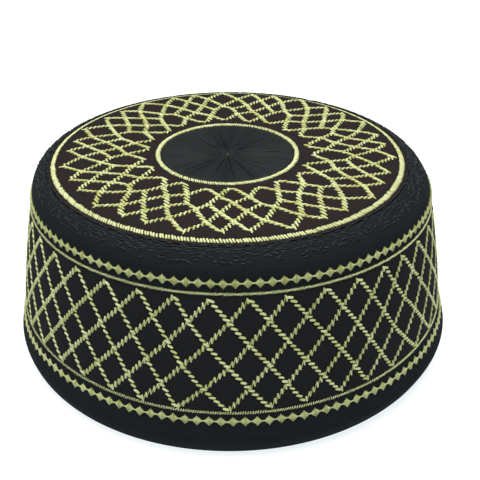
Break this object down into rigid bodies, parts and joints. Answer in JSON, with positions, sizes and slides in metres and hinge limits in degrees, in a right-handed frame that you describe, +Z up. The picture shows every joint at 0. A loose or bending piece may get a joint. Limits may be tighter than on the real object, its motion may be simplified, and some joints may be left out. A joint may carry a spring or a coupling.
{
  "type": "prayer cap",
  "caption": "Round stiff prayer cap with an almost flat crown, rolled shoulder and tapered side band, hollow for the head and open at its rim.",
  "frame": {"origin": "centre of the rim, on the surface that the cap stands on", "axes": "+Z up through the crown, front towards -Y"},
  "size_m": [0.1968, 0.1968, 0.0851],
  "materials": {
    "brown_cloth": "matte brown-black woven cloth of the lattice fields",
    "black_cloth": "matte blue-black cloth of hem and shoulder",
    "black_thread": "black embroidery thread with a soft sheen",
    "gold_thread": "pale yellow-green gold embroidery thread, silky"
  },
  "bodies": {
    "root": {"crown_top": "brown_cloth", "side_band": "black_cloth"}
  },
  "joints": []
}
